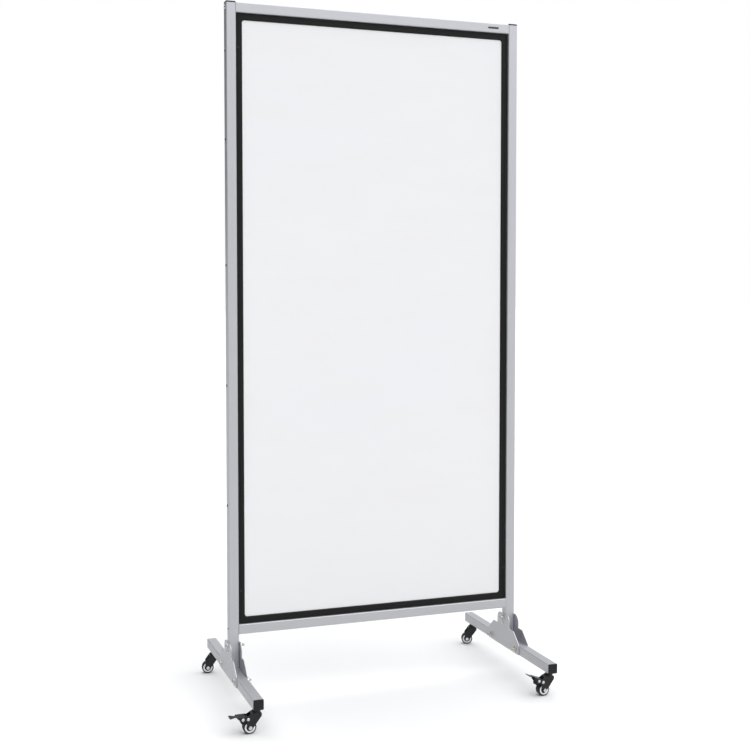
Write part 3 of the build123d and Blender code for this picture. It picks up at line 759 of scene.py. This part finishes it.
def axle_nut_rings():
    """Closed profile of the axle's nut, with a round collar on its outer side."""
    outer = -LEG_OUT - AXLE_NUT_THICK
    return [
        (outer + 0.9, AXLE_R),
        (outer + 0.1, AXLE_R + 0.35),
        (outer, AXLE_R + 0.9),
        (outer, AXLE_HEAD_R * 0.72),
        (outer + 0.7, AXLE_HEAD_R * 0.80),
        (outer + 1.4, AXLE_HEAD_R * 0.80),
        hex_wall(outer + 1.7, AXLE_HEAD_R, -0.5),
        hex_wall(-LEG_OUT - 0.1, AXLE_HEAD_R, 0.5),
        (-LEG_OUT, AXLE_HEAD_R * 0.84),
        (-LEG_OUT, AXLE_R),
    ]


def add_wheel(corner):
    centre = Vector(JOINTS[f"{corner}_wheel_roll"]["pos_m"])
    low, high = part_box(f"{corner}_tyre")
    radius = (high.z - low.z) / 2 / MM
    place = across_frame(corner, centre)
    add_piece(f"{corner}_moulded_tyre", f"{corner}_tyre", [(spun(tyre_rings(radius), True, 96), place)])
    add_piece(f"{corner}_ribbed_hub", f"{corner}_hub", [(spun(hub_rings(), True, 96), place)])
    rings = [(spun(plated_ring(side), True, 72), place) for side in (-1, 1)]
    add_piece(f"{corner}_plated_rings", f"{corner}_hub_rings", rings, 40)
    shells = [(spun(axle_rings()), place), (spun(axle_nut_rings(), True), place)]
    add_piece(f"{corner}_axle_bolt", f"{corner}_axle", shells)


def add_rivet(corner, name, node, half):
    """A cross rivet with a domed, slightly dimpled head at each end, `half` from the caster's middle."""
    low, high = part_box(node)
    head = [(half, RIVET_R), (half, RIVET_HEAD_R - 0.25), (half + 0.2, RIVET_HEAD_R)]
    for k in range(1, 9):
        angle = math.pi / 2 * k / 9
        head.append((half + 0.2 + (RIVET_RISE - 0.2) * math.sin(angle), RIVET_HEAD_R * math.cos(angle)))
    head += [(half + RIVET_RISE, 0.6), (half + RIVET_RISE - 0.15, 0)]
    rings = [(-along, radius) for along, radius in reversed(head)] + head
    add_piece(name, node, [(spun(rings), across_frame(corner, (low + high) / 2))])


def stem_shell(corner):
    """Stud, hexagon collar, pressed bearing cup and riveted kingpin of one caster, and their place."""
    ahead, across, (x, y) = caster_axes(corner)
    place = frame_at((x, y, 0), ahead, across, Z)
    cup = [
        (CROWN_UNDER - 3.8, 0),
        (CROWN_UNDER - 3.8, 3.6),
        (CROWN_UNDER - 3.0, 5.2),
        (CROWN_UNDER - 1.6, 6.3),
        (CROWN_UNDER - 0.5, 6.5),
        (CROWN_UNDER - 0.3, 6.2),
        (CROWN_UNDER - 0.3, 4.0),
        (RACE_LOW, 4.0),
        (RACE_LOW, RACE_R - 0.9),
        (RACE_LOW + 0.3, RACE_R - 0.25),
        (RACE_LOW + 0.9, RACE_R),
        (RACE_LOW + 1.7, RACE_R - 0.1),
        (RACE_LOW + 2.5, RACE_R - 0.7),
        (RACE_LOW + 3.1, RACE_R - 1.8),
        (RACE_LOW + 3.5, RACE_R - 3.0),
        (RACE_LOW + 3.9, RACE_R - 3.6),
        (COLLAR_LOW, RACE_R - 4.4),
        hex_wall(COLLAR_LOW + 0.2, COLLAR_R, -0.45),
        hex_wall(FOOT_BOTTOM - 0.2, COLLAR_R, 0.45),
        (FOOT_BOTTOM, COLLAR_R * 0.84),
        (FOOT_BOTTOM, 4.6),
    ]
    cup += thread(FOOT_BOTTOM + 0.2, STUD_TOP - 1.2, STUD_R, STUD_PITCH)
    cup += [(STUD_TOP - 1, 4.9), (STUD_TOP, 4.0), (STUD_TOP, 0)]
    return spun(cup, segments=72), place


def add_casters():
    for corner in CORNERS:
        add_wheel(corner)
    add_piece("caster_swivel_heads", "caster_stems", [stem_shell(corner) for corner in CORNERS])
    for corner in BRAKED:
        add_rivet(corner, f"{corner}_pivot_pin", f"{corner}_pivot_rivet", CHEEK_OUT + PIVOT_GAP)
        add_rivet(corner, f"{corner}_toggle_pin", f"{corner}_lever_rivet", CHEEK_OUT)
        add_softened(f"{corner}_pressed_lever", f"{corner}_brake_lever", LEVER_EDGE)
        add_softened(f"{corner}_moulded_shoe", f"{corner}_brake_shoe", SHOE_EDGE)


# ---------------------------------------------------------------- plates and trim
PLATE_EDGE = 0.45  # widths over which the edges are rounded
BADGE_EDGE = 0.15
TRIM_EDGE = 0.35
SOFTENED = (  # piece, the CAD node that it is made from, edge
    ("left_outer_plate", "left_outer_bracket", PLATE_EDGE),
    ("left_inner_plate", "left_inner_bracket", PLATE_EDGE),
    ("right_inner_plate", "right_inner_bracket", PLATE_EDGE),
    ("right_outer_plate", "right_outer_bracket", PLATE_EDGE),
    ("blank_label_plate", "blank_badge", BADGE_EDGE),
    ("left_trim_strip", "left_trim", TRIM_EDGE),
    ("right_trim_strip", "right_trim", TRIM_EDGE),
    ("top_trim_strip", "top_trim", TRIM_EDGE),
    ("bottom_trim_strip", "bottom_trim", TRIM_EDGE),
    ("moulded_trim_corners", "trim_corners", TRIM_EDGE),
)


def add_plates():
    """The bracket plates, the badge and the board's trim, with rounded edges."""
    for name, node, edge in SOFTENED:
        add_softened(name, node, edge)


# ---------------------------------------------------------------- stage and light
FLOOR_HALF = 60
FLOOR_SEEN = 0.90  # how white the floor is to the camera
FLOOR_IN_GLOSS = 0.25  # in the object's reflections
FLOOR_GLOW = 0.44  # what these see of it even where it is in shadow
FLOOR_BOUNCE = 0.80  # and in the light that it throws back
KEY_FROM = (1.0, -0.45, 0.4)
STUDIO_RANGE = (0.06, 0.80)
HORIZON = 0.5  # pale band all round, low down
SUNS = {  # direction that the light comes from, strength, spread in degrees
    "overhead": ((0.25, -0.3, 1.0), 2.1, 100),
    "rear_fill": ((-0.1, 0.6, 0.79), 0.8, 60),
}


class Tree:
    """Shorthands for the floor's and the world's nodes."""

    def __init__(self, owner):
        owner.use_nodes = True
        self.nodes, self.links = owner.node_tree.nodes, owner.node_tree.links
        self.path = self.nodes.new("ShaderNodeLightPath")

    def choose(self, ray, chosen, other):
        """The shader `chosen` for that kind of ray, else `other`."""
        mix = self.nodes.new("ShaderNodeMixShader")
        self.links.new(self.path.outputs[ray], mix.inputs["Fac"])
        self.links.new(other, mix.inputs[1])
        self.links.new(chosen, mix.inputs[2])
        return mix.outputs["Shader"]

    def ramp(self, source, start, end, low, high):
        """`source` from start to end, mapped smoothly to low to high."""
        node = self.nodes.new("ShaderNodeMapRange")
        node.interpolation_type = "SMOOTHSTEP"
        for socket, value in (("From Min", start), ("From Max", end), ("To Min", low), ("To Max", high)):
            node.inputs[socket].default_value = value
        self.links.new(source, node.inputs["Value"])
        return node.outputs["Result"]

    def diffuse(self, white):
        node = self.nodes.new("ShaderNodeBsdfDiffuse")
        node.inputs["Color"].default_value = (white, white, white, 1)
        return node.outputs["BSDF"]


def make_floor():
    """A white floor that throws less light back on the object than the camera sees in it."""
    material = bpy.data.materials.new("floor")
    tree = Tree(material)
    tree.nodes.remove(tree.nodes["Principled BSDF"])
    glow = tree.nodes.new("ShaderNodeEmission")
    glow.inputs["Strength"].default_value = FLOOR_GLOW
    in_gloss = tree.nodes.new("ShaderNodeAddShader")
    tree.links.new(tree.diffuse(FLOOR_IN_GLOSS), in_gloss.inputs[0])
    tree.links.new(glow.outputs["Emission"], in_gloss.inputs[1])
    bounced = tree.choose("Is Glossy Ray", in_gloss.outputs["Shader"], tree.diffuse(FLOOR_BOUNCE))
    shader = tree.choose("Is Camera Ray", tree.diffuse(FLOOR_SEEN), bounced)
    tree.links.new(shader, tree.nodes["Material Output"].inputs["Surface"])
    half = FLOOR_HALF
    mesh = bpy.data.meshes.new("floor")
    corners = [(-half, -half, 0), (half, -half, 0), (half, half, 0), (-half, half, 0)]
    mesh.from_pydata(corners, [], [(0, 1, 2, 3)])
    mesh.materials.append(material)
    floor = bpy.data.objects.new("floor", mesh)
    bpy.context.scene.collection.objects.link(floor)


def make_studio():
    """White all round to the camera; to the object, brightest at the front right and dim at the rear left."""
    world = bpy.data.worlds.new("studio")
    bpy.context.scene.world = world
    tree = Tree(world)
    where = tree.nodes.new("ShaderNodeTexCoord").outputs["Generated"]
    dot = tree.nodes.new("ShaderNodeVectorMath")
    dot.operation = "DOT_PRODUCT"
    dot.inputs[1].default_value = Vector(KEY_FROM).normalized()
    tree.links.new(where, dot.inputs[0])
    height = tree.nodes.new("ShaderNodeSeparateXYZ")
    tree.links.new(where, height.inputs["Vector"])
    strength = tree.nodes.new("ShaderNodeMath")
    strength.operation = "MAXIMUM"
    tree.links.new(tree.ramp(dot.outputs["Value"], -0.7, 0.95, *STUDIO_RANGE), strength.inputs[0])
    tree.links.new(tree.ramp(height.outputs["Z"], 0.01, 0.10, HORIZON, 0.0), strength.inputs[1])
    lit = tree.nodes["Background"]
    lit.inputs["Color"].default_value = (0.97, 0.985, 1.0, 1)
    tree.links.new(strength.outputs["Value"], lit.inputs["Strength"])
    seen = tree.nodes.new("ShaderNodeBackground")
    seen.inputs["Color"].default_value = (1, 1, 1, 1)
    shader = tree.choose("Is Camera Ray", seen.outputs["Background"], lit.outputs["Background"])
    tree.links.new(shader, tree.nodes["World Output"].inputs["Surface"])
    for name, (direction, strength, spread) in SUNS.items():
        light = bpy.data.lights.new(name, "SUN")
        light.energy = strength
        light.angle = math.radians(spread)
        sun = bpy.data.objects.new(name, light)
        sun.rotation_euler = Vector(direction).to_track_quat("Z", "Y").to_euler()
        bpy.context.scene.collection.objects.link(sun)
    bpy.context.scene.view_settings.view_transform = "Standard"


make_camera()
make_floor()
make_studio()
finish_cad_nodes()
add_caps()
add_bracket_fasteners()
add_casters()
add_plates()
